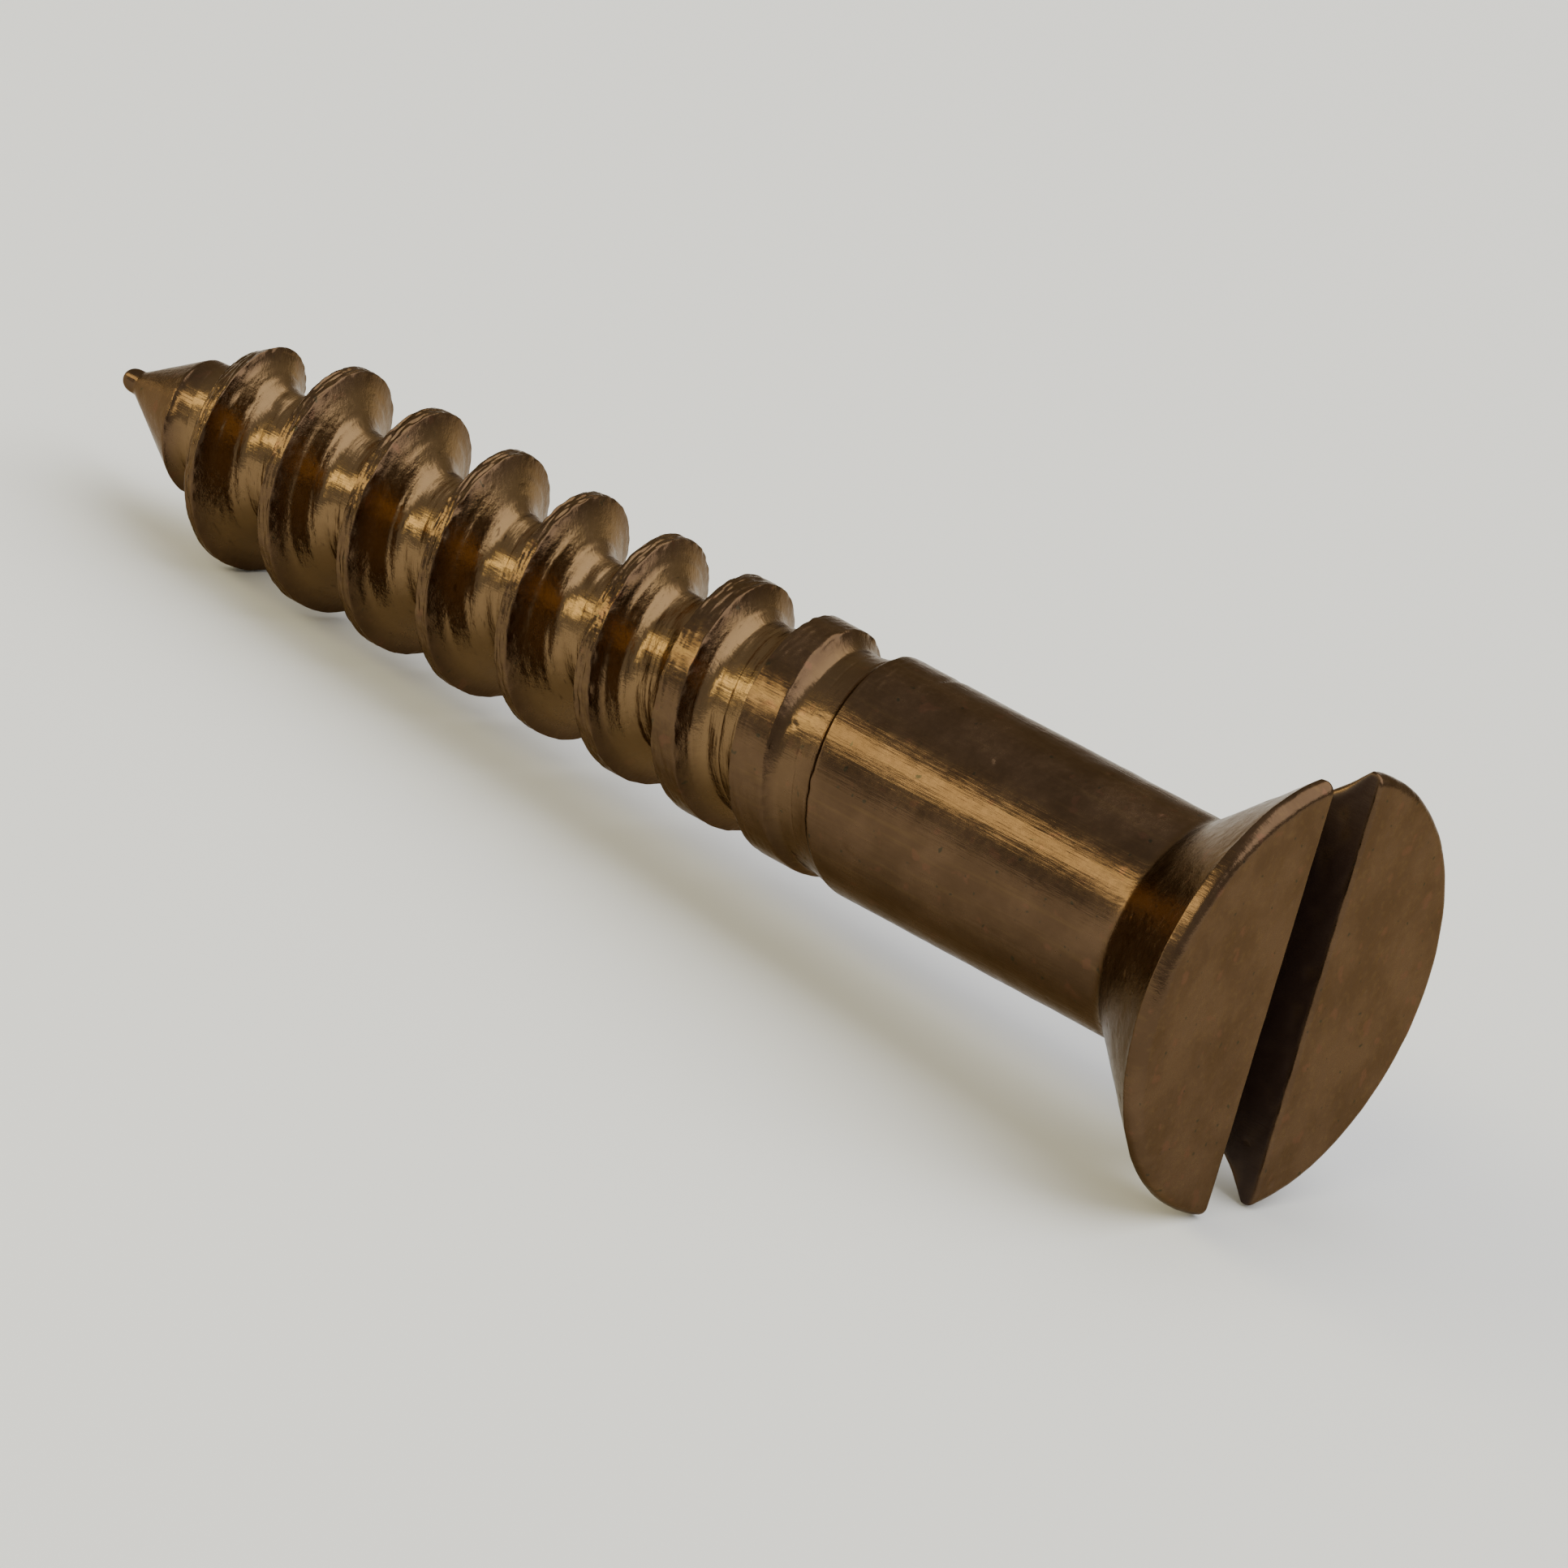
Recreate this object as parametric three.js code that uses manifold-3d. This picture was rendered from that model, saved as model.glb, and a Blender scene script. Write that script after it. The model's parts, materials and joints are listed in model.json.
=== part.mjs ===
// A slotted countersunk wood screw in bronze, lying at rest on its head's rim and its thread.
// The real screw is one piece of metal. It is drawn here as the four lengths that it is made in:
// head, shank, threaded length and point, which meet face to face on planes square to its axis.
//
// Each length is drawn upright in the screw's own frame, in millimetres:
// +Y runs from the driving face (y = 0) to the point, and +Z runs up along the driving slot.

import * as THREE from "three";
import { mergeVertices } from "three/addons/utils/BufferGeometryUtils.js";
import Module from "manifold-3d";

// ---- driving dimensions, in millimetres ----

const LENGTH = 31.5; // driving face to tip
const SHANK_DIAMETER = 4.9; // also the diameter over the thread's crests

const HEAD_DIAMETER = 9.5;
const HEAD_HEIGHT = 3.0; // driving face to where the cone's line would meet the shank's
const FACE_EDGE_RADIUS = 0.25; // the rounded edge of the driving face
const RIM_LAND = 0.1; // the short cylinder between the rounded edge and the cone
const NECK_RADIUS = 0.6; // the hollow curve between the cone and the shank
const SHANK_STUB = 0.4; // plain shank that is drawn with the head

const SLOT_WIDTH = 1.5;
const SLOT_DEPTH = 1.35;

const THREADED_LENGTH = 21.5; // tip to where the thread starts to bite
const THREAD_LEAD_IN = 0.3; // plain metal that is drawn with the thread, before its first cut
const THREAD_PITCH = 2.17;
const THREAD_DEPTH = 1.05;
const THREAD_RUN_OUT = 7.5; // the stretch next to the shank where the thread gets deeper
const CREST_WIDTH = 0.3;
const HEADWARD_FLANK = THREE.MathUtils.degToRad(24); // off square to the axis, facing the head
const POINTWARD_FLANK = THREE.MathUtils.degToRad(16); // off square to the axis, facing the point
const FLOOR_CORNER = 0.3; // how far the thread's floor is rounded into each flank
const THREAD_CLOCKING = 0.46; // turns of the groove, carried back to the driving face

const POINT_LENGTH = 4.05; // the cone at the tip
const POINT_ROOT_RADIUS = 1.2; // the thread's floor where it runs out of the cone
const NUB_RADIUS = 0.25; // the little ball that the cone ends in

// ---- how finely the round shapes are drawn ----

const HEAD_SEGMENTS = 64; // around the head
const SEGMENTS = 32; // around everything else, and in each turn of the thread
const ARC_STEPS = 3; // along a rounded edge
const CORNER_STEPS = 2; // along each corner of the groove
const CUT_MARGIN = 0.5; // how far a cutting tool reaches past what it cuts

// ---- sizes that follow from them ----

const SHANK_RADIUS = SHANK_DIAMETER / 2;
const HEAD_RADIUS = HEAD_DIAMETER / 2;
const HEAD_END = HEAD_HEIGHT + SHANK_STUB;
const THREAD_START = LENGTH - THREADED_LENGTH;
const SHANK_END = THREAD_START - THREAD_LEAD_IN;
const POINT_START = LENGTH - POINT_LENGTH;
const POINT_HALF_ANGLE = Math.atan(SHANK_RADIUS / POINT_LENGTH);

const wasm = await Module();
wasm.setup();

// ---- solids ----

/** The closed solid that a geometry bounds. */
function solidOf(geometry) {
  const bare = geometry.clone();
  bare.deleteAttribute("normal");
  bare.deleteAttribute("uv");
  const merged = mergeVertices(bare, 1e-4);
  return new wasm.Manifold(
    new wasm.Mesh({
      numProp: 3,
      vertProperties: merged.attributes.position.array,
      triVerts: new Uint32Array(merged.index.array),
    }),
  );
}

/** The geometry of a solid's skin, with flat faces. */
function geometryOf(solid) {
  const mesh = solid.getMesh();
  const skin = new THREE.BufferGeometry();
  skin.setAttribute("position", new THREE.BufferAttribute(mesh.vertProperties, 3));
  skin.setIndex(new THREE.BufferAttribute(mesh.triVerts, 1));
  const flat = skin.toNonIndexed();
  flat.computeVertexNormals();
  return flat;
}

/** A solid of revolution about Y, from its outline of (radius, y) points in order of y. */
function turned(outline, segments) {
  return solidOf(new THREE.LatheGeometry(outline, segments));
}

/** A plain cylinder of the shank's diameter between two heights. */
function plainLength(start, end) {
  const outline = [
    new THREE.Vector2(0, start),
    new THREE.Vector2(SHANK_RADIUS, start),
    new THREE.Vector2(SHANK_RADIUS, end),
    new THREE.Vector2(0, end),
  ];
  return turned(outline, SEGMENTS);
}

/** Points along an arc about (x, y), from one angle to another, both ends included. */
function arc(x, y, radius, from, to, steps) {
  const points = [];
  for (let i = 0; i <= steps; i += 1) {
    const angle = from + ((to - from) * i) / steps;
    points.push(new THREE.Vector2(x + radius * Math.cos(angle), y + radius * Math.sin(angle)));
  }
  return points;
}

// ---- head ----

/** The countersunk head before it is slotted, with a little of the shank. */
function headBlank() {
  const edgeX = HEAD_RADIUS - FACE_EDGE_RADIUS;
  const coneStart = FACE_EDGE_RADIUS + RIM_LAND;
  const halfAngle = Math.atan((HEAD_RADIUS - SHANK_RADIUS) / (HEAD_HEIGHT - coneStart));
  const neckX = SHANK_RADIUS + NECK_RADIUS;
  const neckY = HEAD_HEIGHT + NECK_RADIUS * Math.tan(halfAngle / 2);
  const outline = [
    new THREE.Vector2(0, 0),
    ...arc(edgeX, FACE_EDGE_RADIUS, FACE_EDGE_RADIUS, -Math.PI / 2, 0, ARC_STEPS),
    new THREE.Vector2(HEAD_RADIUS, coneStart),
    ...arc(neckX, neckY, NECK_RADIUS, Math.PI + halfAngle, Math.PI, ARC_STEPS),
    new THREE.Vector2(SHANK_RADIUS, HEAD_END),
    new THREE.Vector2(0, HEAD_END),
  ];
  return turned(outline, HEAD_SEGMENTS);
}

/** The saw cut that makes the driving slot, right across the head. */
function slotCutter() {
  const cut = new THREE.BoxGeometry(
    SLOT_WIDTH,
    SLOT_DEPTH + CUT_MARGIN,
    HEAD_DIAMETER + 2 * CUT_MARGIN,
  );
  cut.translate(0, (SLOT_DEPTH - CUT_MARGIN) / 2, 0);
  return solidOf(cut);
}

function head() {
  return headBlank().subtract(slotCutter());
}

// ---- point ----

/** The cone and its nub before the thread is cut. */
function pointBlank() {
  const nubEnd = -Math.PI / 2 + 2 * POINT_HALF_ANGLE;
  const outline = [
    new THREE.Vector2(0, POINT_START),
    new THREE.Vector2(SHANK_RADIUS, POINT_START),
    ...arc(0, LENGTH - NUB_RADIUS, NUB_RADIUS, nubEnd, Math.PI / 2, 2 * ARC_STEPS),
  ];
  return turned(outline, SEGMENTS);
}

// ---- thread ----

/** Half the width of the groove's flat floor, which is what the crest and the flanks leave. */
function floorHalfWidth() {
  const flanks = THREAD_DEPTH * (Math.tan(HEADWARD_FLANK) + Math.tan(POINTWARD_FLANK));
  return (THREAD_PITCH - CREST_WIDTH - flanks) / 2;
}

/** The groove's section: x is the height above its floor, y runs along the axis to the head. */
function grooveSection() {
  const floor = floorHalfWidth();
  const top = THREAD_DEPTH + POINT_LENGTH;
  const pointSide = -floor - THREAD_DEPTH * Math.tan(HEADWARD_FLANK);
  const headSide = floor + THREAD_DEPTH * Math.tan(POINTWARD_FLANK);
  const rise = FLOOR_CORNER;
  const section = new THREE.Shape();
  section.moveTo(top, pointSide);
  section.lineTo(top, headSide);
  section.lineTo(THREAD_DEPTH, headSide);
  section.lineTo(rise, floor + rise * Math.tan(POINTWARD_FLANK));
  section.quadraticCurveTo(0, floor, 0, floor - rise);
  section.lineTo(0, rise - floor);
  section.quadraticCurveTo(0, -floor, rise, -floor - rise * Math.tan(HEADWARD_FLANK));
  section.lineTo(THREAD_DEPTH, pointSide);
  section.closePath();
  return section;
}

/** The radius of the groove's floor at a distance from the driving face. */
function floorRadius(y) {
  const fullDepth = SHANK_RADIUS - THREAD_DEPTH;
  const bite = THREE.MathUtils.clamp((y - THREAD_START) / THREAD_RUN_OUT, 0, 1);
  const runOff = Math.max(0, (y - POINT_START) / (floorEnd() - POINT_START));
  return SHANK_RADIUS - bite * THREAD_DEPTH - runOff * (fullDepth - POINT_ROOT_RADIUS);
}

/** Where the groove's floor comes out of the cone. */
function floorEnd() {
  return LENGTH - POINT_ROOT_RADIUS / Math.tan(POINT_HALF_ANGLE);
}

/** The groove's turns about the axis, from the slot's top end, at a distance from the face. */
function turnsAt(y) {
  return y / THREAD_PITCH - THREAD_CLOCKING;
}

/** The helical cutter: the groove's section drawn straight, then wound about the axis. */
function threadCutter() {
  const firstStep = Math.floor(SEGMENTS * turnsAt(THREAD_START));
  const lastStep = Math.ceil(SEGMENTS * turnsAt(floorEnd() + THREAD_PITCH / 2));
  const cutter = new THREE.ExtrudeGeometry(grooveSection(), {
    depth: lastStep - firstStep,
    steps: lastStep - firstStep,
    curveSegments: CORNER_STEPS,
    bevelEnabled: false,
  });
  const position = cutter.getAttribute("position");
  for (let i = 0; i < position.count; i += 1) {
    const turns = (firstStep + position.getZ(i)) / SEGMENTS;
    const angle = 2 * Math.PI * turns;
    const y = THREAD_PITCH * (turns + THREAD_CLOCKING);
    const radius = floorRadius(y) + position.getX(i);
    position.setXYZ(i, radius * Math.sin(angle), y - position.getY(i), radius * Math.cos(angle));
  }
  return solidOf(cutter);
}

// ---- assembly ----

function bronze(color, roughness) {
  return new THREE.MeshStandardMaterial({ color, roughness, metalness: 1 });
}

function piece(name, solid, material) {
  const mesh = new THREE.Mesh(geometryOf(solid), material);
  mesh.name = name;
  return mesh;
}

/** The mesh's point that hangs furthest below the axis once the screw is tilted by an angle. */
function lowestPoint(meshes, tilt) {
  const best = { y: 0, depth: 0, drop: -Infinity };
  for (const mesh of meshes) {
    const position = mesh.geometry.getAttribute("position");
    for (let i = 0; i < position.count; i += 1) {
      const y = position.getY(i);
      const depth = -position.getZ(i);
      const drop = depth * Math.cos(tilt) + y * Math.sin(tilt);
      if (drop > best.drop) Object.assign(best, { y, depth, drop });
    }
  }
  return best;
}

/** The tilt at which the head's rim and the thread stand on one level floor. */
function restingTilt(headMesh, threadMeshes) {
  const rounds = 10;
  let tilt = 0;
  for (let i = 0; i < rounds; i += 1) {
    const rim = lowestPoint([headMesh], tilt);
    const crest = lowestPoint(threadMeshes, tilt);
    tilt = Math.atan2(rim.depth - crest.depth, crest.y - rim.y);
  }
  return tilt;
}

const cutter = threadCutter();
const headMesh = piece("head", head(), bronze(0x6b4b30, 0.45));
const shankMesh = piece("shank", plainLength(HEAD_END, SHANK_END), bronze(0x7a5a38, 0.3));
const threadMesh = piece(
  "threaded_length",
  plainLength(SHANK_END, POINT_START).subtract(cutter),
  bronze(0x8a6236, 0.28),
);
const pointMesh = piece("point", pointBlank().subtract(cutter), bronze(0x7e5a34, 0.35));

// The screw lies along X with its head towards +X, and its slot stands in the XZ plane.
const screw = new THREE.Group();
screw.add(headMesh, shankMesh, threadMesh, pointMesh);
screw.rotation.z = Math.PI / 2;

const lying = new THREE.Group();
lying.add(screw);
lying.rotation.y = -restingTilt(headMesh, [threadMesh, pointMesh]);

// The origin is under the middle of the lying screw, on the floor.
const part = new THREE.Group();
part.add(lying);
const box = new THREE.Box3().setFromObject(part, true);
lying.position.set(-(box.min.x + box.max.x) / 2, -(box.min.y + box.max.y) / 2, -box.min.z);

export default part;
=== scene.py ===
"""The looks of a slotted countersunk wood screw in weathered bronze.

The screw lies on a pale floor, on its head's rim and its thread. Its shapes are drawn in the
screw's own frame, in millimetres, and placed on the CAD frame at the end:
+Y runs from the driving face (y = 0) to the point, and +Z runs up along the driving slot.
"""

import json
import math

import bmesh
import bpy
import numpy as np
from mathutils import Matrix, Vector

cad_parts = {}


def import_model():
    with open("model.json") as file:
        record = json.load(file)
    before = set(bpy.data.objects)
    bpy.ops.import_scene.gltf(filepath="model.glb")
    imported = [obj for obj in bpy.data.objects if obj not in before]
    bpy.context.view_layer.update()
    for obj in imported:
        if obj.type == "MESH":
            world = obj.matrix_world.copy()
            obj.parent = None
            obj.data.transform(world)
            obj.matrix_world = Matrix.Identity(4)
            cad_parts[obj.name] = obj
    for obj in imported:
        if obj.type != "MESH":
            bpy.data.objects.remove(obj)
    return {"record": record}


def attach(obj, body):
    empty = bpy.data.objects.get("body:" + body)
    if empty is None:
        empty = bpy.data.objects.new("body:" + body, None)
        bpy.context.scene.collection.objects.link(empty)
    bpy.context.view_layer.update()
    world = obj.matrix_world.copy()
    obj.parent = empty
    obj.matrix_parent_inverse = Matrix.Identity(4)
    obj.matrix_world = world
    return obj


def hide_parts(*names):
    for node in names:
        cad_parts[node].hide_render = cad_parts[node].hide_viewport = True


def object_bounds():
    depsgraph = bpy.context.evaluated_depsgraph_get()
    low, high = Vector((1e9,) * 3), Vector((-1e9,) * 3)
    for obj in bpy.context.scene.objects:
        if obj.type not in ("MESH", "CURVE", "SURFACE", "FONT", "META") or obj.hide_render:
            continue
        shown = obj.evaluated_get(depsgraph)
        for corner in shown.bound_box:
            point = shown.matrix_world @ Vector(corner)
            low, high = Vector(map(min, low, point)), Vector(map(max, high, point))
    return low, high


MM = 0.001
TURN = 2 * math.pi

# ---- driving dimensions, in millimetres: the CAD part's own ----

LENGTH = 31.5
SHANK_RADIUS = 2.45
HEAD_RADIUS = 4.75
HEAD_HEIGHT = 3.0
FACE_EDGE_RADIUS = 0.25
RIM_LAND = 0.1
NECK_RADIUS = 0.6
HEAD_END = 3.4

SLOT_WIDTH = 1.5
SLOT_DEPTH = 1.35

SHANK_END = 9.7
THREAD_START = 10.0
THREAD_PITCH = 2.17
THREAD_DEPTH = 1.05
THREAD_RUN_OUT = 7.5
CREST_WIDTH = 0.3
HEADWARD_FLANK = math.radians(24)
POINTWARD_FLANK = math.radians(16)
THREAD_CLOCKING = 0.46

POINT_START = 27.45
POINT_ROOT_RADIUS = 1.2
NUB_RADIUS = 0.25

POINT_LENGTH = LENGTH - POINT_START
POINT_HALF_ANGLE = math.atan(SHANK_RADIUS / POINT_LENGTH)
FLOOR_END = LENGTH - POINT_ROOT_RADIUS / math.tan(POINT_HALF_ANGLE)
FLANKS_WIDTH = THREAD_DEPTH * (math.tan(HEADWARD_FLANK) + math.tan(POINTWARD_FLANK))
FLOOR_HALF_WIDTH = (THREAD_PITCH - CREST_WIDTH - FLANKS_WIDTH) / 2
CREST_MIDDLE = FLOOR_HALF_WIDTH + THREAD_DEPTH * math.tan(HEADWARD_FLANK) + CREST_WIDTH / 2

# ---- how softly its surfaces run into each other, in millimetres ----

NUB_BLEND = 0.2
CONE_BLEND = 0.12
WALL_BLEND = 0.42
FLOOR_HOLLOW = 0.06  # how far the groove's floor rises from its middle to its edges
FLOOR_DROP = 0.02
CREST_EDGE = 0.03
SHALLOW_EDGE = 0.12  # added to the crest's edge where the thread starts
START_LIFT = 0.05  # how far the groove is held up where it starts

# ---- how finely the shapes are drawn ----

AROUND = 288  # vertices around the shank and in each turn of the thread
SHANK_RINGS = 150
NUB_RINGS = 26
CURVE_STEPS = 10  # in each curve of the head's outline
HEAD_SECTORS = 128  # around the coarse head, before it is meshed evenly
HEAD_GRAIN = 0.042  # spacing of the head's vertices
INSET = 0.012  # how far the looks stay inside the CAD surface, so that wear never leaves its box
WEAR_CEILING = 0.008  # the most that wear raises a surface


# ---- noise ----


def waves(points, size, seed, count=28):
    """Smooth random heights, about -1 to 1, whose bumps are about `size` apart."""
    picks = np.random.default_rng(seed)
    directions = picks.normal(size=(count, points.shape[1]))
    directions /= np.linalg.norm(directions, axis=1, keepdims=True)
    frequencies = directions * (TURN / size) * picks.uniform(0.55, 1.45, (count, 1))
    phases = picks.uniform(0, TURN, count)
    total = np.zeros(len(points))
    for frequency, phase in zip(frequencies, phases):
        total += np.cos(points @ frequency + phase)
    return total / math.sqrt(count)


def ramp(value, low, high):
    """0 below low, 1 above high, and smooth between them."""
    share = np.clip((value - low) / (high - low), 0, 1)
    return share * share * (3 - 2 * share)


def soft_min(a, b, width):
    """The lower of two heights, with the corner between them rounded over about `width`."""
    share = np.clip(0.5 + 0.5 * (b - a) / width, 0, 1)
    return b + (a - b) * share - width * share * (1 - share)


def pits(points, size, seed, sparsity):
    """Scattered round dents: 0 between them, up to about 1 in the middle of each."""
    return np.clip(waves(points, size, seed) - sparsity, 0, 1.2)


# ---- the turned blank ----


def blank_radius(y):
    """The screw's radius at a distance from its face, behind the head and before any thread."""
    cone = (LENGTH - y) * math.tan(POINT_HALF_ANGLE)
    ball = np.sqrt(np.clip(NUB_RADIUS**2 - (y - LENGTH + NUB_RADIUS) ** 2, 0, None))
    tip = -soft_min(-ball, -cone, NUB_BLEND)
    return soft_min(np.maximum(tip, 0), np.full_like(y, SHANK_RADIUS), CONE_BLEND)


# ---- the thread ----


def floor_radius(y):
    """The radius of the groove's floor: it comes out of the shank slowly and runs off the cone."""
    bite = np.clip((y - THREAD_START) / THREAD_RUN_OUT, 0, 1)
    run_off = np.clip((y - POINT_START) / (FLOOR_END - POINT_START), 0, None)
    full = SHANK_RADIUS - THREAD_DEPTH
    return SHANK_RADIUS - bite * THREAD_DEPTH - run_off * (full - POINT_ROOT_RADIUS)


def wall_height(offset):
    """The groove's height over its floor, at an offset from its centre line towards the point."""
    towards_point = (offset - FLOOR_HALF_WIDTH) / math.tan(HEADWARD_FLANK)
    towards_head = (-offset - FLOOR_HALF_WIDTH) / math.tan(POINTWARD_FLANK)
    wall = np.maximum(towards_point, towards_head)
    hollow = FLOOR_HOLLOW * (offset / FLOOR_HALF_WIDTH) ** 2
    return -soft_min(-wall, -hollow, WALL_BLEND) - FLOOR_DROP


def along_helix(turns):
    """Millimetres along the thread's crest."""
    return turns * TURN * SHANK_RADIUS


def groove_centre(turns):
    return THREAD_PITCH * (turns + THREAD_CLOCKING)


MOUTH_HALVINGS = 30
NARROWEST_MOUTH = 0.15  # keeps the columns in order where the groove closes
CREST_GAP = 0.02  # between the groove's edge and the crest's middle
LIP = 0.05  # the closely drawn band at each edge of the groove


def mouth(turns, side):
    """How far from the groove's centre line, on one side, it breaks through the blank's surface."""
    inner = np.zeros_like(turns)
    outer = np.full_like(turns, THREAD_PITCH)
    for _ in range(MOUTH_HALVINGS):
        middle = (inner + outer) / 2
        y = groove_centre(turns) + side * middle
        below = floor_radius(y) + wall_height(side * middle) < blank_radius(y)
        inner = np.where(below, middle, inner)
        outer = np.where(below, outer, middle)
    return inner


# Each step that the threading tool left: its offset from the groove's centre line, depth and width.
TOOL_MARKS = (
    (-0.80, 0.020, 0.020),
    (-0.68, 0.024, 0.028),
    (-0.55, 0.018, 0.022),
    (-0.40, 0.014, 0.026),
    (0.05, 0.008, 0.020),
    (0.66, 0.030, 0.014),
    (0.86, 0.040, 0.012),
)


def thread_columns(turns):
    """Offsets across the groove, a row per place on the helix, closest together at its edges."""
    headward_room = THREAD_PITCH - CREST_MIDDLE - CREST_GAP
    head_edge = -np.clip(mouth(turns, -1), NARROWEST_MOUTH, headward_room)
    point_edge = np.clip(mouth(turns, 1), NARROWEST_MOUTH, CREST_MIDDLE - CREST_GAP)
    first = np.full_like(turns, CREST_MIDDLE - THREAD_PITCH)
    last = np.full_like(turns, CREST_MIDDLE)
    stations = [
        (first, 10),
        (head_edge - LIP * 0.35, 6),
        (head_edge + LIP, 12),
        (head_edge * 0.55, 26),
        (point_edge * 0.4, 16),
        (point_edge - LIP, 6),
        (point_edge + LIP * 0.35, 9),
        (last, 0),
    ]
    columns = []
    for (here, count), (there, _) in zip(stations, stations[1:]):
        for step in range(count):
            columns.append(here + (there - here) * step / count)
    return np.stack(columns, axis=1)


TORN_DEPTH = 0.022  # millimetres


def burr(turns, offset):
    """The torn, speckled top of the ridge: how far it is worn below the crest."""
    along = along_helix(turns)
    torn = np.stack([along * 0.18, offset * 1.3], axis=1)
    speckled = np.stack([along * 0.6, offset], axis=1)
    rough = 0.5 + 0.6 * waves(torn, 0.13, 11) + 0.15 * waves(speckled, 0.1, 12)
    return TORN_DEPTH * np.clip(rough, 0, 2)


def tool_marks(turns, offset):
    """Fine helical steps that the threading tool left in the groove."""
    along = along_helix(turns)
    drift = 0.018 * waves(np.stack([along, along * 0], axis=1), 4.0, 21)
    marks = np.zeros_like(offset)
    for place, depth, width in TOOL_MARKS:
        marks += depth * np.exp(-(((offset + drift - place) / width) ** 2))
    return marks


def ragged_edge(turns, offset, above):
    """How far the groove's walls wander along the helix, near the top of the ridge."""
    helix = np.stack([along_helix(turns), offset * 2], axis=1)
    fine = 0.010 * waves(helix, 0.5, 31) * ramp(above, -0.12, 0.0)
    broad = 0.006 * waves(helix, 3.5, 32) * ramp(above, -0.6, 0.0)
    return fine + broad


def uneven_floor(turns, offset, depth):
    """Low swells along the groove's floor, which fade on its walls."""
    along = along_helix(turns)
    uneven = 0.008 * waves(np.stack([along * 0.16, offset], axis=1), 0.4, 33)
    uneven += 0.003 * waves(np.stack([along * 0.7, offset], axis=1), 0.55, 34)
    return uneven * ramp(depth, 0.1, 0.5) * (1 - ramp(np.abs(offset), 0.4, 0.7))


def torn_share(y, above):
    """1 on the torn top of the ridge, less where the thread starts, 0 on the last of the cone."""
    ridge = ramp(above, -0.03, 0.04) * ramp(y, THREAD_START, THREAD_START + 1)
    narrow = 0.25 + 0.75 * ramp((y - THREAD_START) / THREAD_RUN_OUT, 0.45, 0.9)
    return ridge * narrow * (1 - ramp(y, POINT_START + 0.9, POINT_START + 1.7))


def thread_radius(turns, offset, y):
    """The threaded surface's radius, with its wear, and how much of it is groove and torn crest."""
    blank = blank_radius(y)
    above = floor_radius(y) + wall_height(offset) - blank
    groove = floor_radius(y) + wall_height(offset + ragged_edge(turns, offset, above))
    depth = np.where(y > THREAD_START, np.clip(blank - groove, 0, None), 0)
    groove = groove - tool_marks(turns, offset) * ramp(depth, 0.04, 0.25)
    groove = groove + uneven_floor(turns, offset, depth)
    groove = groove + START_LIFT * (1 - ramp(y, THREAD_START, THREAD_START + 1.2))
    groove = np.where(y > THREAD_START, groove, blank + 1)
    torn = torn_share(y, groove - blank)
    edge = CREST_EDGE + SHALLOW_EDGE * (1 - ramp(y, THREAD_START, THREAD_START + 3))
    radius = soft_min(blank - burr(turns, offset) * torn, groove, edge)
    return radius, ramp(depth, 0.04, 0.55), torn


def general_wear(points):
    """The dents and waviness that every outer surface of the screw has."""
    wavy = 0.003 * waves(points, 1.1, 41) + 0.0012 * waves(points, 0.4, 42)
    dents = 0.022 * pits(points, 0.45, 43, 1.75) + 0.012 * pits(points, 0.24, 44, 1.7)
    return wavy - dents


# ---- meshes ----


def mesh_from(name, vertices, faces, uv=None, masks=None):
    """A mesh with a UV layer, and with named values at its vertices for the material to use."""
    mesh = bpy.data.meshes.new(name)
    mesh.from_pydata(vertices.tolist(), [], faces.tolist())
    for mask, values in (masks or {}).items():
        layer = mesh.attributes.new(mask, "FLOAT", "POINT")
        layer.data.foreach_set("value", values.astype(np.float32))
    if uv is not None:
        layer = mesh.uv_layers.new(name="surface")
        layer.data.foreach_set("uv", uv.astype(np.float32).ravel())
    mesh.update()
    return mesh


def cut_at(bm, y, keep_beyond):
    """Cuts a mesh square to the screw's axis, and drops the side that isn't kept."""
    geometry = bm.verts[:] + bm.edges[:] + bm.faces[:]
    bmesh.ops.bisect_plane(
        bm, geom=geometry, dist=1e-6, plane_co=(0, y, 0), plane_no=(0, 1, 0),
        clear_inner=keep_beyond, clear_outer=not keep_beyond,
    )


def cap_open_ends(bm):
    """Closes each open end with a flat fan of faces."""
    bm.edges.ensure_lookup_table()
    rims = [e for e in bm.edges if len(e.link_faces) == 1]
    if rims:
        for rim in rims:
            rim.smooth = False
        made = bmesh.ops.holes_fill(bm, edges=rims, sides=0)["faces"]
        bmesh.ops.poke(bm, faces=made)
    bmesh.ops.recalc_face_normals(bm, faces=bm.faces[:])


THINNEST = 0.02


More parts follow.
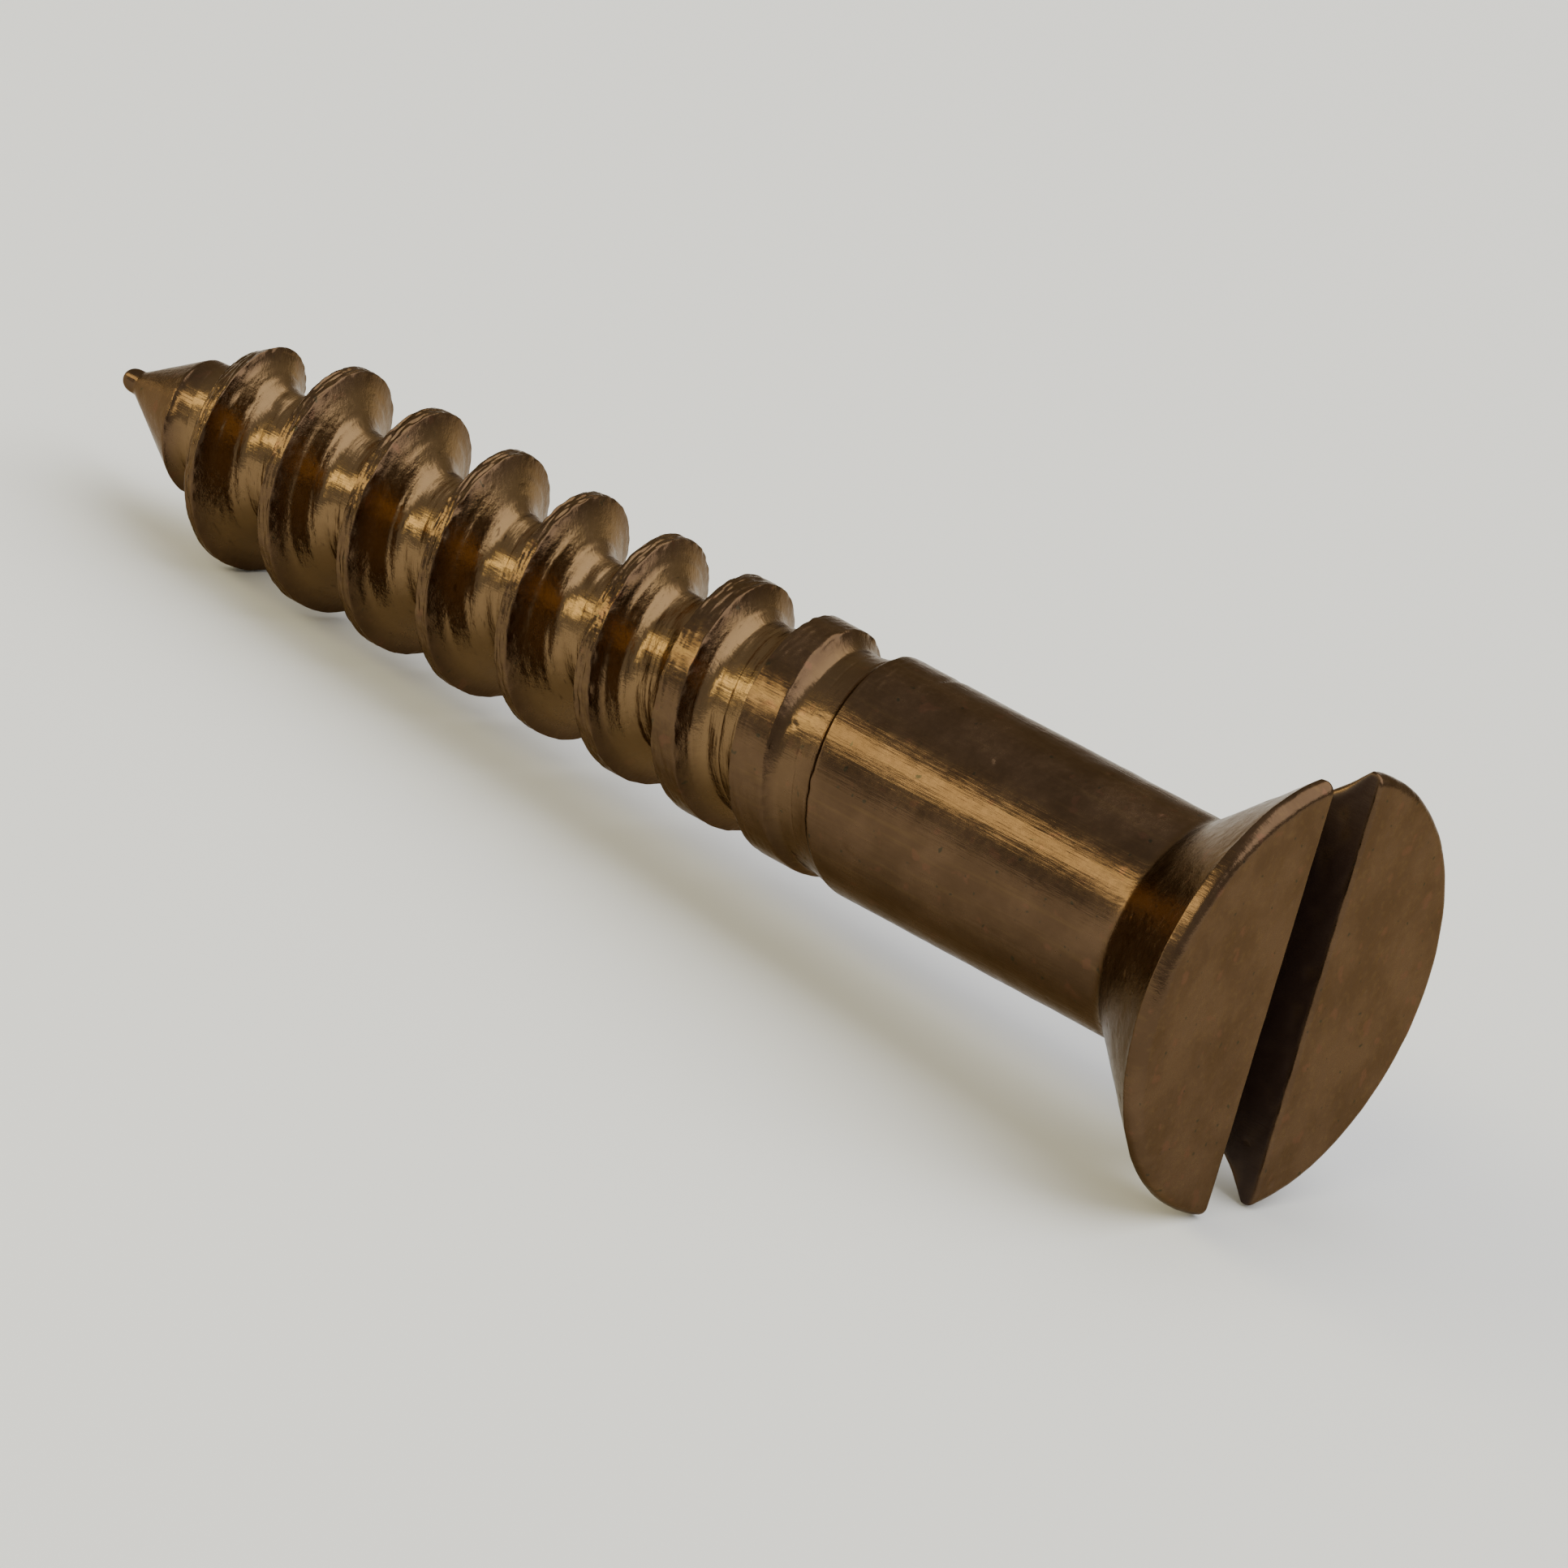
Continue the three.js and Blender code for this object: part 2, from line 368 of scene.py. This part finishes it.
def helix_mesh(first_turn, last_turn):
    """The thread's surface as one strip wound on the helix, each turn joined to the next."""
    rows = int(round((last_turn - first_turn) * AROUND))
    turns = first_turn + np.arange(rows + 1 + AROUND) / AROUND
    offset = thread_columns(turns)
    columns = offset.shape[1]
    flat_turns = np.repeat(turns, columns)
    flat_offset = offset.ravel()
    y = groove_centre(flat_turns) + flat_offset
    radius, in_groove, torn = thread_radius(flat_turns, flat_offset, y)
    angle = TURN * flat_turns
    plain = np.stack([SHANK_RADIUS * np.sin(angle), y, SHANK_RADIUS * np.cos(angle)], axis=1)
    wear = np.minimum(general_wear(plain), WEAR_CEILING) * (1 - 0.8 * in_groove)
    radius = np.clip(radius - INSET + wear, THINNEST, None)
    vertices = np.stack([radius * np.sin(angle), y, radius * np.cos(angle)], axis=1)
    row, column = np.meshgrid(np.arange(rows), np.arange(columns), indexing="ij")
    here = row * columns + column
    beside = np.where(column == columns - 1, (row + AROUND) * columns, here + 1)
    faces = np.stack([here, here + columns, beside + columns, beside], axis=-1).reshape(-1, 4)
    uv = helix_uv(offset, row, column, first_turn)
    return vertices, faces, uv, {"groove": in_groove, "crest": torn}


def helix_uv(offset, row, column, first_turn):
    """Each face's corners in UV: millimetres along the helix, and across the groove."""
    columns = offset.shape[1]
    wraps = column == columns - 1
    beside = (column + 1) % columns
    u = along_helix(row / AROUND + first_turn)
    u_next = u + TURN * SHANK_RADIUS / AROUND
    v = offset[row, column]
    v_below = offset[row + 1, column]
    v_beside = np.where(wraps, offset[row, 0] + THREAD_PITCH, offset[row, beside])
    v_corner = np.where(wraps, offset[row + 1, 0] + THREAD_PITCH, offset[row + 1, beside])
    corners = ((u, v), (u_next, v_below), (u_next, v_corner), (u, v_beside))
    uv = np.stack([np.stack(corner, axis=-1) for corner in corners], axis=2)
    return uv.reshape(-1, 2)


def lathe_mesh(y, radius_at):
    """Rings of vertices around the axis, one at each y."""
    angle = TURN * np.arange(AROUND) / AROUND
    yy, aa = np.meshgrid(y, angle, indexing="ij")
    plain = np.stack([np.sin(aa).ravel(), yy.ravel(), np.cos(aa).ravel()], axis=1)
    radius = radius_at(plain)
    vertices = np.stack([radius * plain[:, 0], plain[:, 1], radius * plain[:, 2]], axis=1)
    row, column = np.meshgrid(np.arange(len(y) - 1), np.arange(AROUND), indexing="ij")
    here = row * AROUND + column
    beside = row * AROUND + (column + 1) % AROUND
    faces = np.stack([here, here + AROUND, beside + AROUND, beside], axis=-1)
    return vertices, faces.reshape(-1, 4)


# ---- the four pieces ----


SPARE_TURNS = 0.25  # wound past each end before it is cut square
TIP_JOIN = FLOOR_END + 1.1  # where the wound surface gives way to the rings of the nub


def thread_piece(name, start, end, keep_tip=False):
    """The threaded surface from `start` to `end`, closed at both ends."""
    first = (start - THREAD_PITCH) / THREAD_PITCH - THREAD_CLOCKING - SPARE_TURNS
    last = (end + THREAD_PITCH) / THREAD_PITCH - THREAD_CLOCKING + SPARE_TURNS
    first = math.floor(first * AROUND) / AROUND
    last = math.ceil(last * AROUND) / AROUND
    mesh = mesh_from(name, *helix_mesh(first, last))
    bm = bmesh.new()
    bm.from_mesh(mesh)
    loose = [v for v in bm.verts if not v.link_faces]
    bmesh.ops.delete(bm, geom=loose, context="VERTS")
    cut_at(bm, start, True)
    cut_at(bm, end, False)
    if keep_tip:
        add_nub(bm, end)
    cap_open_ends(bm)
    bm.to_mesh(mesh)
    bm.free()
    return mesh


SAME_PLACE = 1e-4
TIP_RADIUS = 0.004


def open_edges_at(bm, y):
    """The edges with one face that lie in the plane square to the axis at y."""
    bm.edges.ensure_lookup_table()
    rim = [e for e in bm.edges if len(e.link_faces) == 1]
    return [e for e in rim if all(abs(v.co.y - y) < SAME_PLACE for v in e.verts)]


def put_in_order(elements, place):
    """Sorts a mesh's vertices, edges or faces by their place."""
    ranks = {element: rank for rank, element in enumerate(sorted(elements, key=place))}
    elements.sort(key=lambda element: ranks[element])


def add_nub(bm, start):
    """Grows the last of the cone and its nub, ring by ring, from the open end at `start`."""
    rim = open_edges_at(bm, start)
    for step in range(1, NUB_RINGS + 1):
        turn = step / NUB_RINGS * math.pi / 2
        y = start + (LENGTH - INSET - start) * math.sin(turn)
        made = bmesh.ops.extrude_edge_only(bm, edges=rim)["geom"]
        ring = [g for g in made if isinstance(g, bmesh.types.BMVert)]
        rim = [g for g in made if isinstance(g, bmesh.types.BMEdge) and g.is_boundary]
        radius = max(blank_radius(np.array([y]))[0] - INSET * math.cos(turn), TIP_RADIUS)
        for vertex in ring:
            angle = math.atan2(vertex.co.x, vertex.co.z)
            vertex.co = (radius * math.sin(angle), y, radius * math.cos(angle))
    # Extruding leaves them in an order that changes from run to run.
    put_in_order(bm.verts, lambda v: tuple(v.co))
    put_in_order(bm.edges, lambda e: tuple(e.verts[0].co + e.verts[1].co))
    put_in_order(bm.faces, lambda f: tuple(f.calc_center_median()))


def shank_mesh(name):
    """The plain shank between the head and the thread."""
    y = np.linspace(HEAD_END, SHANK_END, SHANK_RINGS)

    def radius_at(plain):
        points = plain * (SHANK_RADIUS, 1, SHANK_RADIUS)
        return SHANK_RADIUS - INSET + np.minimum(general_wear(points), WEAR_CEILING)

    vertices, faces = lathe_mesh(y, radius_at)
    mesh = mesh_from(name, vertices, faces)
    bm = bmesh.new()
    bm.from_mesh(mesh)
    cap_open_ends(bm)
    bm.to_mesh(mesh)
    bm.free()
    return mesh


SPARE_SHANK = 1  # drawn past the head's end before it is cut square


def head_profile():
    """The head's outline as (radius, y), from the middle of the face to past its end."""
    outline = [(0.0, 0.0)]
    for step in range(CURVE_STEPS + 1):
        turn = step / CURVE_STEPS * math.pi / 2
        radius = HEAD_RADIUS - FACE_EDGE_RADIUS * (1 - math.sin(turn))
        outline.append((radius, FACE_EDGE_RADIUS * (1 - math.cos(turn))))
    cone_start = FACE_EDGE_RADIUS + RIM_LAND
    half_angle = math.atan((HEAD_RADIUS - SHANK_RADIUS) / (HEAD_HEIGHT - cone_start))
    neck_y = HEAD_HEIGHT + NECK_RADIUS * math.tan(half_angle / 2)
    outline.append((HEAD_RADIUS, cone_start))
    for step in range(CURVE_STEPS + 1):
        turn = half_angle * (1 - step / CURVE_STEPS)
        radius = SHANK_RADIUS + NECK_RADIUS * (1 - math.cos(turn))
        outline.append((radius, neck_y - NECK_RADIUS * math.sin(turn)))
    outline.append((SHANK_RADIUS, HEAD_END + SPARE_SHANK))
    outline.append((0.0, HEAD_END + SPARE_SHANK))
    return np.array(outline)


def outline_distance(radius, y, outline):
    """Signed distance to a closed outline in the (radius, y) plane: below 0 inside it."""
    nearest = np.full(radius.shape, np.inf)
    inside = np.zeros(radius.shape, bool)
    points = np.stack([radius, y], axis=1)
    for start, end in zip(outline, np.roll(outline, -1, axis=0)):
        side = end - start
        square = side @ side
        on_axis = start[0] == 0 and end[0] == 0
        if square == 0 or on_axis:
            continue
        share = np.clip((points - start) @ side / square, 0, 1)
        gap = points - start - share[:, None] * side
        nearest = np.minimum(nearest, np.sqrt((gap**2).sum(1)))
    for start, end in zip(outline, np.roll(outline, -1, axis=0)):
        crosses = (start[1] > y) != (end[1] > y)
        with np.errstate(divide="ignore", invalid="ignore"):
            reach = start[0] + (y - start[1]) / (end[1] - start[1]) * (end[0] - start[0])
        inside ^= crosses & (radius < reach)
    return np.where(inside, -nearest, nearest)


def head_distance(points, outline):
    """Signed distance to the slotted head, with its edges slightly rounded."""
    radius = np.hypot(points[:, 0], points[:, 2])
    body = outline_distance(radius, points[:, 1], outline)
    across = np.abs(points[:, 0]) - SLOT_WIDTH / 2
    down = points[:, 1] - SLOT_DEPTH
    outside = np.hypot(np.maximum(across, 0), np.maximum(down, 0))
    slot = outside + np.minimum(np.maximum(across, down), 0)
    blunting = 0.10 + 0.25 * ramp(points[:, 1], 0.1, 0.9) * ramp(radius, 3.2, 4.2)
    return -soft_min(-body, slot, blunting)


PROBE = 0.004  # the step over which the distance's slope is measured


def slope_of(points, outline):
    """The direction in which the distance to the head grows, at each point."""
    slope = np.zeros_like(points)
    for axis in range(3):
        ahead = points.copy()
        ahead[:, axis] += PROBE
        behind = points.copy()
        behind[:, axis] -= PROBE
        rise = head_distance(ahead, outline) - head_distance(behind, outline)
        slope[:, axis] = rise / (2 * PROBE)
    return slope


def rough_head():
    """A closed, coarse head without its slot, which is then cut and meshed evenly."""
    angle = TURN * np.arange(HEAD_SECTORS) / HEAD_SECTORS
    rings = head_profile()[1:-1]
    vertices = [(0.0, 0.0, 0.0)]
    for radius, y in rings:
        vertices += [(radius * math.sin(a), y, radius * math.cos(a)) for a in angle]
    vertices.append((0.0, HEAD_END + SPARE_SHANK, 0.0))
    n = HEAD_SECTORS
    faces = [(0, 1 + (k + 1) % n, 1 + k) for k in range(n)]
    for row in range(len(rings) - 1):
        for k in range(n):
            a = 1 + row * n + k
            b = 1 + row * n + (k + 1) % n
            faces.append((a, b, b + n, a + n))
    last = 1 + (len(rings) - 1) * n
    faces += [(last + k, last + (k + 1) % n, len(vertices) - 1) for k in range(n)]
    mesh = bpy.data.meshes.new("rough_head")
    mesh.from_pydata(vertices, [], faces)
    bm = bmesh.new()
    bm.from_mesh(mesh)
    bmesh.ops.recalc_face_normals(bm, faces=bm.faces[:])
    bm.to_mesh(mesh)
    bm.free()
    return mesh


def slot_cutter():
    """The block that is taken out of the head: it starts 1 mm ahead of the face."""
    mesh = bpy.data.meshes.new("slot_cutter")
    bm = bmesh.new()
    bmesh.ops.create_cube(bm, size=1)
    for v in bm.verts:
        depth = (v.co.y + 0.5) * (SLOT_DEPTH + 1) - 1
        v.co = Vector((v.co.x * SLOT_WIDTH, depth, v.co.z * 4 * HEAD_RADIUS))
    bm.to_mesh(mesh)
    bm.free()
    return mesh


def shaped(mesh, modifiers):
    """A mesh after the given modifiers, made on a throwaway object."""
    body = bpy.data.objects.new("shaping", mesh)
    bpy.context.scene.collection.objects.link(body)
    for kind, settings in modifiers:
        modifier = body.modifiers.new(kind, kind)
        for key, value in settings.items():
            setattr(modifier, key, value)
    evaluated = body.evaluated_get(bpy.context.evaluated_depsgraph_get())
    result = bpy.data.meshes.new_from_object(evaluated)
    bpy.data.objects.remove(body)
    return result


SETTLING_PASSES = 4


def slotted_head(name):
    """The head with its slot cut, meshed evenly, but with its edges still stepped."""
    cutter = bpy.data.objects.new("slot_cutter", slot_cutter())
    bpy.context.scene.collection.objects.link(cutter)
    cut = {"operation": "DIFFERENCE", "object": cutter, "solver": "EXACT"}
    even = {"mode": "VOXEL", "voxel_size": HEAD_GRAIN}
    mesh = shaped(rough_head(), [("BOOLEAN", cut), ("REMESH", even)])
    bpy.data.objects.remove(cutter)
    mesh.name = name
    return mesh


def drawn_onto_head(points):
    """Moves points onto the head's true surface, then adds its wear."""
    outline = head_profile()
    for _ in range(SETTLING_PASSES):
        slope = slope_of(points, outline)
        size = np.maximum((slope**2).sum(1), 0.05)
        points = points - slope * ((head_distance(points, outline) + INSET) / size)[:, None]
    slope = slope_of(points, outline)
    slope /= np.linalg.norm(slope, axis=1, keepdims=True)
    return points + slope * head_wear(points)[:, None]


def head_mesh(name):
    """The slotted, countersunk head, with a mask for the inside of its slot."""
    mesh = slotted_head(name)
    points = np.zeros(len(mesh.vertices) * 3)
    mesh.vertices.foreach_get("co", points)
    points = drawn_onto_head(points.reshape(-1, 3))
    mesh.vertices.foreach_set("co", points.ravel())
    in_slot = slot_share(points).astype(np.float32)
    mesh.attributes.new("slot", "FLOAT", "POINT").data.foreach_set("value", in_slot)
    bm = bmesh.new()
    bm.from_mesh(mesh)
    cut_at(bm, HEAD_END, False)
    cap_open_ends(bm)
    bm.to_mesh(mesh)
    bm.free()
    return mesh


def slot_share(points):
    """1 on the slot's walls and floor, 0 on the rest of the head."""
    wall = SLOT_WIDTH / 2
    across = 1 - ramp(np.abs(points[:, 0]), wall + 0.01, wall + 0.06)
    above_floor = 1 - ramp(points[:, 1], SLOT_DEPTH, SLOT_DEPTH + 0.15)
    return across * ramp(points[:, 1], 0.04, 0.16) * above_floor


def head_wear(points):
    """How far the head's surface stands off its drawn shape: dents, and a rougher slot."""
    radius = np.hypot(points[:, 0], points[:, 2])
    rim = ramp(radius, HEAD_RADIUS - 0.5, HEAD_RADIUS - 0.1) * (1 - ramp(points[:, 1], 0.4, 0.8))
    wear = np.minimum(general_wear(points), WEAR_CEILING)
    wear += 0.01 * np.minimum(waves(points, 0.5, 51), 0.3) * slot_share(points)
    wear += 0.006 * np.minimum(waves(points, 0.8, 52), 0.4) * rim
    return wear


# ---- placing ----


def screw_placement(face):
    """The screw's own frame, in millimetres, as a matrix into the CAD frame in metres."""
    outward = Vector(face["axis"]).normalized()
    centre = Vector((face["pos_m"][0], 0, face["pos_m"][2]))
    y_axis = -outward
    x_axis = Vector((0, 1, 0))
    z_axis = x_axis.cross(y_axis)
    placement = Matrix((x_axis, y_axis, z_axis)).transposed().to_4x4()
    return Matrix.Translation(centre) @ placement @ Matrix.Scale(MM, 4)


def add_piece(mesh, node, placement, material):
    """Puts a piece in place of its CAD node."""
    mesh.transform(placement)
    mesh.update()
    for face in mesh.polygons:
        face.use_smooth = True
    mesh.materials.clear()
    mesh.materials.append(material)
    piece = bpy.data.objects.new(mesh.name, mesh)
    bpy.context.scene.collection.objects.link(piece)
    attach(piece, "root")
    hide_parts(node)
    return piece


# ---- material ----


class Nodes:
    """Adds nodes to a material and joins them, so that each material reads as a list of steps."""

    def __init__(self, material):
        material.use_nodes = True
        self.tree = material.node_tree
        self.shader = self.tree.nodes["Principled BSDF"]

    def add(self, kind, inputs=None, **settings):
        node = self.tree.nodes.new(kind)
        for key, value in settings.items():
            setattr(node, key, value)
        for key, value in (inputs or {}).items():
            self.feed(node.inputs[key], value)
        return node

    def feed(self, socket, value):
        if isinstance(value, bpy.types.NodeSocket):
            self.tree.links.new(value, socket)
        else:
            socket.default_value = value

    def noise(self, vector, scale, detail=3.0, roughness=0.55):
        inputs = {"Vector": vector, "Scale": scale, "Detail": detail, "Roughness": roughness}
        return self.add("ShaderNodeTexNoise", inputs).outputs["Fac"]

    def window(self, value, low, high, bottom=0.0, top=1.0):
        inputs = {"Value": value, "From Min": low, "From Max": high}
        inputs.update({"To Min": bottom, "To Max": top})
        node = self.add("ShaderNodeMapRange", inputs, interpolation_type="SMOOTHSTEP")
        return node.outputs["Result"]

    def sum(self, a, b):
        return self.add("ShaderNodeMath", {0: a, 1: b}, operation="ADD").outputs[0]

    def times(self, a, b):
        return self.add("ShaderNodeMath", {0: a, 1: b}, operation="MULTIPLY").outputs[0]

    def mix(self, share, a, b):
        node = self.add("ShaderNodeMix", data_type="RGBA")
        for socket, value in ((node.inputs[0], share), (node.inputs[6], a), (node.inputs[7], b)):
            self.feed(socket, value)
        return node.outputs[2]

    def mask(self, name):
        return self.add("ShaderNodeAttribute", attribute_name=name).outputs["Fac"]


# Painted shade: the near-black of the thin helical lines painted in the groove.
PAINTED_LINE_SHADE = (0.030, 0.018, 0.010, 1)
DEEP_BRONZE = (0.078, 0.046, 0.025, 1)
BRONZE = (0.102, 0.061, 0.034, 1)
WORN_GOLD = (0.168, 0.106, 0.045, 1)
CUT_GOLD = (0.190, 0.118, 0.055, 1)
COPPER_BLOOM = (0.128, 0.062, 0.036, 1)
VERDIGRIS = (0.036, 0.035, 0.022, 1)
# Painted shade: the near-black colour given to the slot's walls and floor, for the shade inside it.
PAINTED_SLOT_SHADE = (0.024, 0.011, 0.007, 1)
EDGE_TINT = (0.60, 0.54, 0.48, 1)  # of the reflection at grazing angles


DRAWN_OUT = (0.05, 1, 1)  # how far the marks of drawing the wire are stretched along the axis
CUT_OUT = (0.12, 1, 1)  # and those of cutting the thread along the helix
PER_METRE = 1 / MM
RELIEF = 0.03 * MM


def bronze_patterns(n, tilt):
    """The noises that the bronze is made of, in millimetres along and across the screw."""
    place = n.add("ShaderNodeTexCoord").outputs["Object"]
    scaled = {"Vector": place, "Rotation": (0, tilt, 0), "Scale": (PER_METRE,) * 3}
    body = n.add("ShaderNodeMapping", scaled).outputs["Vector"]
    drawn = n.add("ShaderNodeMapping", {"Vector": body, "Scale": DRAWN_OUT}).outputs["Vector"]
    uv = n.add("ShaderNodeTexCoord").outputs["UV"]
    cut = n.add("ShaderNodeMapping", {"Vector": uv, "Scale": CUT_OUT}).outputs["Vector"]
    return {
        "mottle": n.noise(body, 0.75, 4.0, 0.6),
        "grain": n.noise(body, 7.0, 4.0, 0.65),
        "drawn": n.noise(drawn, 6.0, 4.0, 0.65),
        "cut": n.noise(cut, 11.0, 3.0, 0.6),
        "spots": n.noise(body, 2.6, 2.0, 0.4),
        "specks": n.noise(body, 5.5, 1.0, 0.4),
        "groove": n.mask("groove"),
        "crest": n.mask("crest"),
        "slot": n.mask("slot"),
    }


def bronze_colour(n, p):
    """Mottled patina, rubbed lines and spots, with the cut metal of the groove more golden, painted
    shade along thin lines in the groove, and the slot painted near-black as shade.
    """
    colour = n.mix(n.window(p["mottle"], 0.35, 0.65), DEEP_BRONZE, BRONZE)
    colour = n.mix(n.times(n.window(p["drawn"], 0.5, 0.7), 0.16), colour, WORN_GOLD)
    colour = n.mix(n.times(n.window(p["spots"], 0.64, 0.72), 0.5), colour, COPPER_BLOOM)
    colour = n.mix(n.times(n.window(p["specks"], 0.72, 0.77), 0.7), colour, VERDIGRIS)
    colour = n.mix(n.times(p["groove"], 0.8), colour, CUT_GOLD)
    # Painted shade along thin helical lines in the groove, standing in for the shading of the
    # threading tool's steps.
    cut_line_shade = n.times(n.window(p["cut"], 0.60, 0.72), p["groove"])
    colour = n.mix(n.times(cut_line_shade, 0.55), colour, PAINTED_LINE_SHADE)
    rubbed = n.times(p["crest"], n.window(p["grain"], 0.40, 0.6, 0.25, 1.0))
    colour = n.mix(n.times(rubbed, 0.3), colour, WORN_GOLD)
    # Painted shade: the slot's walls and floor are painted near-black, as the shade of the recess.
    return n.mix(p["slot"], colour, PAINTED_SLOT_SHADE)


def bronze_roughness(n, p):
    """Fairly polished, uneven with the patina, and matt in the slot."""
    rough = n.window(p["mottle"], 0.3, 0.7, 0.19, 0.25)
    rough = n.sum(rough, n.window(p["grain"], 0.3, 0.7, -0.03, 0.05))
    return n.sum(rough, n.times(p["slot"], 0.4))


def bronze_relief(n, p):
    """Drawn lines on the blank, cut lines in the groove, and specks on the torn crest."""
    cut = n.times(n.times(p["cut"], p["groove"]), 1.2)
    marks = n.sum(n.times(p["drawn"], 1.5), cut)
    marks = n.sum(marks, n.times(p["grain"], 0.5))
    marks = n.sum(marks, n.times(n.times(p["specks"], p["crest"]), 1.2))
    bump = n.add("ShaderNodeBump", {"Height": marks, "Strength": 0.25, "Distance": RELIEF})
    return bump.outputs["Normal"]


def bronze(tilt):
    """Weathered bronze for a screw whose axis leans from the horizontal by `tilt`."""
    material = bpy.data.materials.new("weathered_bronze")
    n = Nodes(material)
    p = bronze_patterns(n, tilt)
    n.feed(n.shader.inputs["Base Color"], bronze_colour(n, p))
    n.feed(n.shader.inputs["Roughness"], bronze_roughness(n, p))
    n.feed(n.shader.inputs["Metallic"], n.window(p["slot"], 0.0, 1.0, 1.0, 0.15))
    n.shader.inputs["Specular Tint"].default_value = EDGE_TINT
    n.feed(n.shader.inputs["Normal"], bronze_relief(n, p))
    return material


# ---- floor, lights and camera ----


FLOOR_PALE = (0.82, 0.82, 0.81, 1)
FLOOR_HALF_SIDE = 3  # metres


def pale_floor():
    """A wide, matt, plain floor at z = 0."""
    mesh = bpy.data.meshes.new("floor")
    bm = bmesh.new()
    bmesh.ops.create_grid(bm, x_segments=2, y_segments=2, size=FLOOR_HALF_SIDE)
    bm.to_mesh(mesh)
    bm.free()
    material = bpy.data.materials.new("pale_floor")
    material.use_nodes = True
    shader = material.node_tree.nodes["Principled BSDF"]
    shader.inputs["Base Color"].default_value = FLOOR_PALE
    shader.inputs["Roughness"].default_value = 0.9
    mesh.materials.append(material)
    floor = bpy.data.objects.new("floor", mesh)
    bpy.context.scene.collection.objects.link(floor)
    return floor


def soft_light(name, direction, along, distance, size, power, target, colour=(1, 1, 1)):
    """A rectangular lamp that faces the target from a direction, its long side along `along`."""
    lamp = bpy.data.lights.new(name, "AREA")
    lamp.shape = "RECTANGLE"
    lamp.size, lamp.size_y = size
    lamp.energy = power
    lamp.color = colour
    light = bpy.data.objects.new(name, lamp)
    outward = Vector(direction).normalized()
    across = outward.cross(Vector(along)).normalized()
    turn = Matrix((across.cross(outward), across, outward)).transposed().to_4x4()
    light.matrix_world = Matrix.Translation(target + outward * distance) @ turn
    bpy.context.scene.collection.objects.link(light)
    return light


ROOM_COLOUR = (1, 0.98, 0.95, 1)
ROOM_STRENGTH = 0.52
STRIP_DIRECTION = (-0.574, -0.655, 0.492)
STRIP_ALONG = (0.816, -0.456, 0.357)
STRIP_COLOUR = (1, 0.9, 0.5)
OVERHEAD_DIRECTION = (0.3, 0.45, 1)
OVERHEAD_COLOUR = (0.96, 0.98, 1)


def studio(target):
    """A warm strip ahead of the screw for its long highlight, and a large soft box overhead."""
    world = bpy.data.worlds.new("studio")
    world.use_nodes = True
    backdrop = world.node_tree.nodes["Background"]
    backdrop.inputs["Color"].default_value = ROOM_COLOUR
    backdrop.inputs["Strength"].default_value = ROOM_STRENGTH
    bpy.context.scene.world = world
    soft_light(
        "strip", STRIP_DIRECTION, STRIP_ALONG,
        distance=0.6, size=(1.7, 0.16), power=5, target=target, colour=STRIP_COLOUR,
    )
    soft_light(
        "overhead", OVERHEAD_DIRECTION, (1, 0, 0),
        distance=0.9, size=(1.6, 1.2), power=14, target=target, colour=OVERHEAD_COLOUR,
    )


CAMERA_RIGHT = Vector((0.72162, 0.60919, 0.32884))
CAMERA_UP = Vector((-0.47385, 0.08837, 0.87615))
CAMERA_DISTANCE = 0.33336  # metres back from the middle of the driving face
CAMERA_LEFTWARD = 0.009996
CAMERA_UPWARD = 0.004205
LENS = 391.3
SENSOR_WIDTH = 36
NEAR_CLIP = 0.01


def camera(face_centre):
    """The photograph's camera: a long lens, a little above and ahead of the head, rolled."""
    lens = bpy.data.cameras.new("camera")
    lens.lens = LENS
    lens.sensor_width = SENSOR_WIDTH
    lens.clip_start = NEAR_CLIP
    eye = bpy.data.objects.new("camera", lens)
    back = CAMERA_RIGHT.cross(CAMERA_UP).normalized()
    up = back.cross(CAMERA_RIGHT).normalized()
    turn = Matrix((CAMERA_RIGHT.normalized(), up, back)).transposed().to_4x4()
    shift = up * CAMERA_UPWARD - CAMERA_RIGHT * CAMERA_LEFTWARD
    eye.matrix_world = Matrix.Translation(face_centre + back * CAMERA_DISTANCE + shift) @ turn
    bpy.context.scene.collection.objects.link(eye)
    bpy.context.scene.camera = eye


def main():
    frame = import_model()
    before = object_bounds()
    face = next(m for m in frame["record"]["mounts"] if m["name"] == "driving_face")
    placement = screw_placement(face)
    metal = bronze(math.asin(face["axis"][2]))
    pieces = (
        (head_mesh("head_look"), "head"),
        (shank_mesh("shank_look"), "shank"),
        (thread_piece("threaded_length_look", SHANK_END, POINT_START), "threaded_length"),
        (thread_piece("point_look", POINT_START, TIP_JOIN, keep_tip=True), "point"),
    )
    for mesh, node in pieces:
        add_piece(mesh, node, placement, metal)
    pale_floor()
    studio((before[0] + before[1]) / 2)
    camera(placement @ Vector((0, 0, 0)))


main()
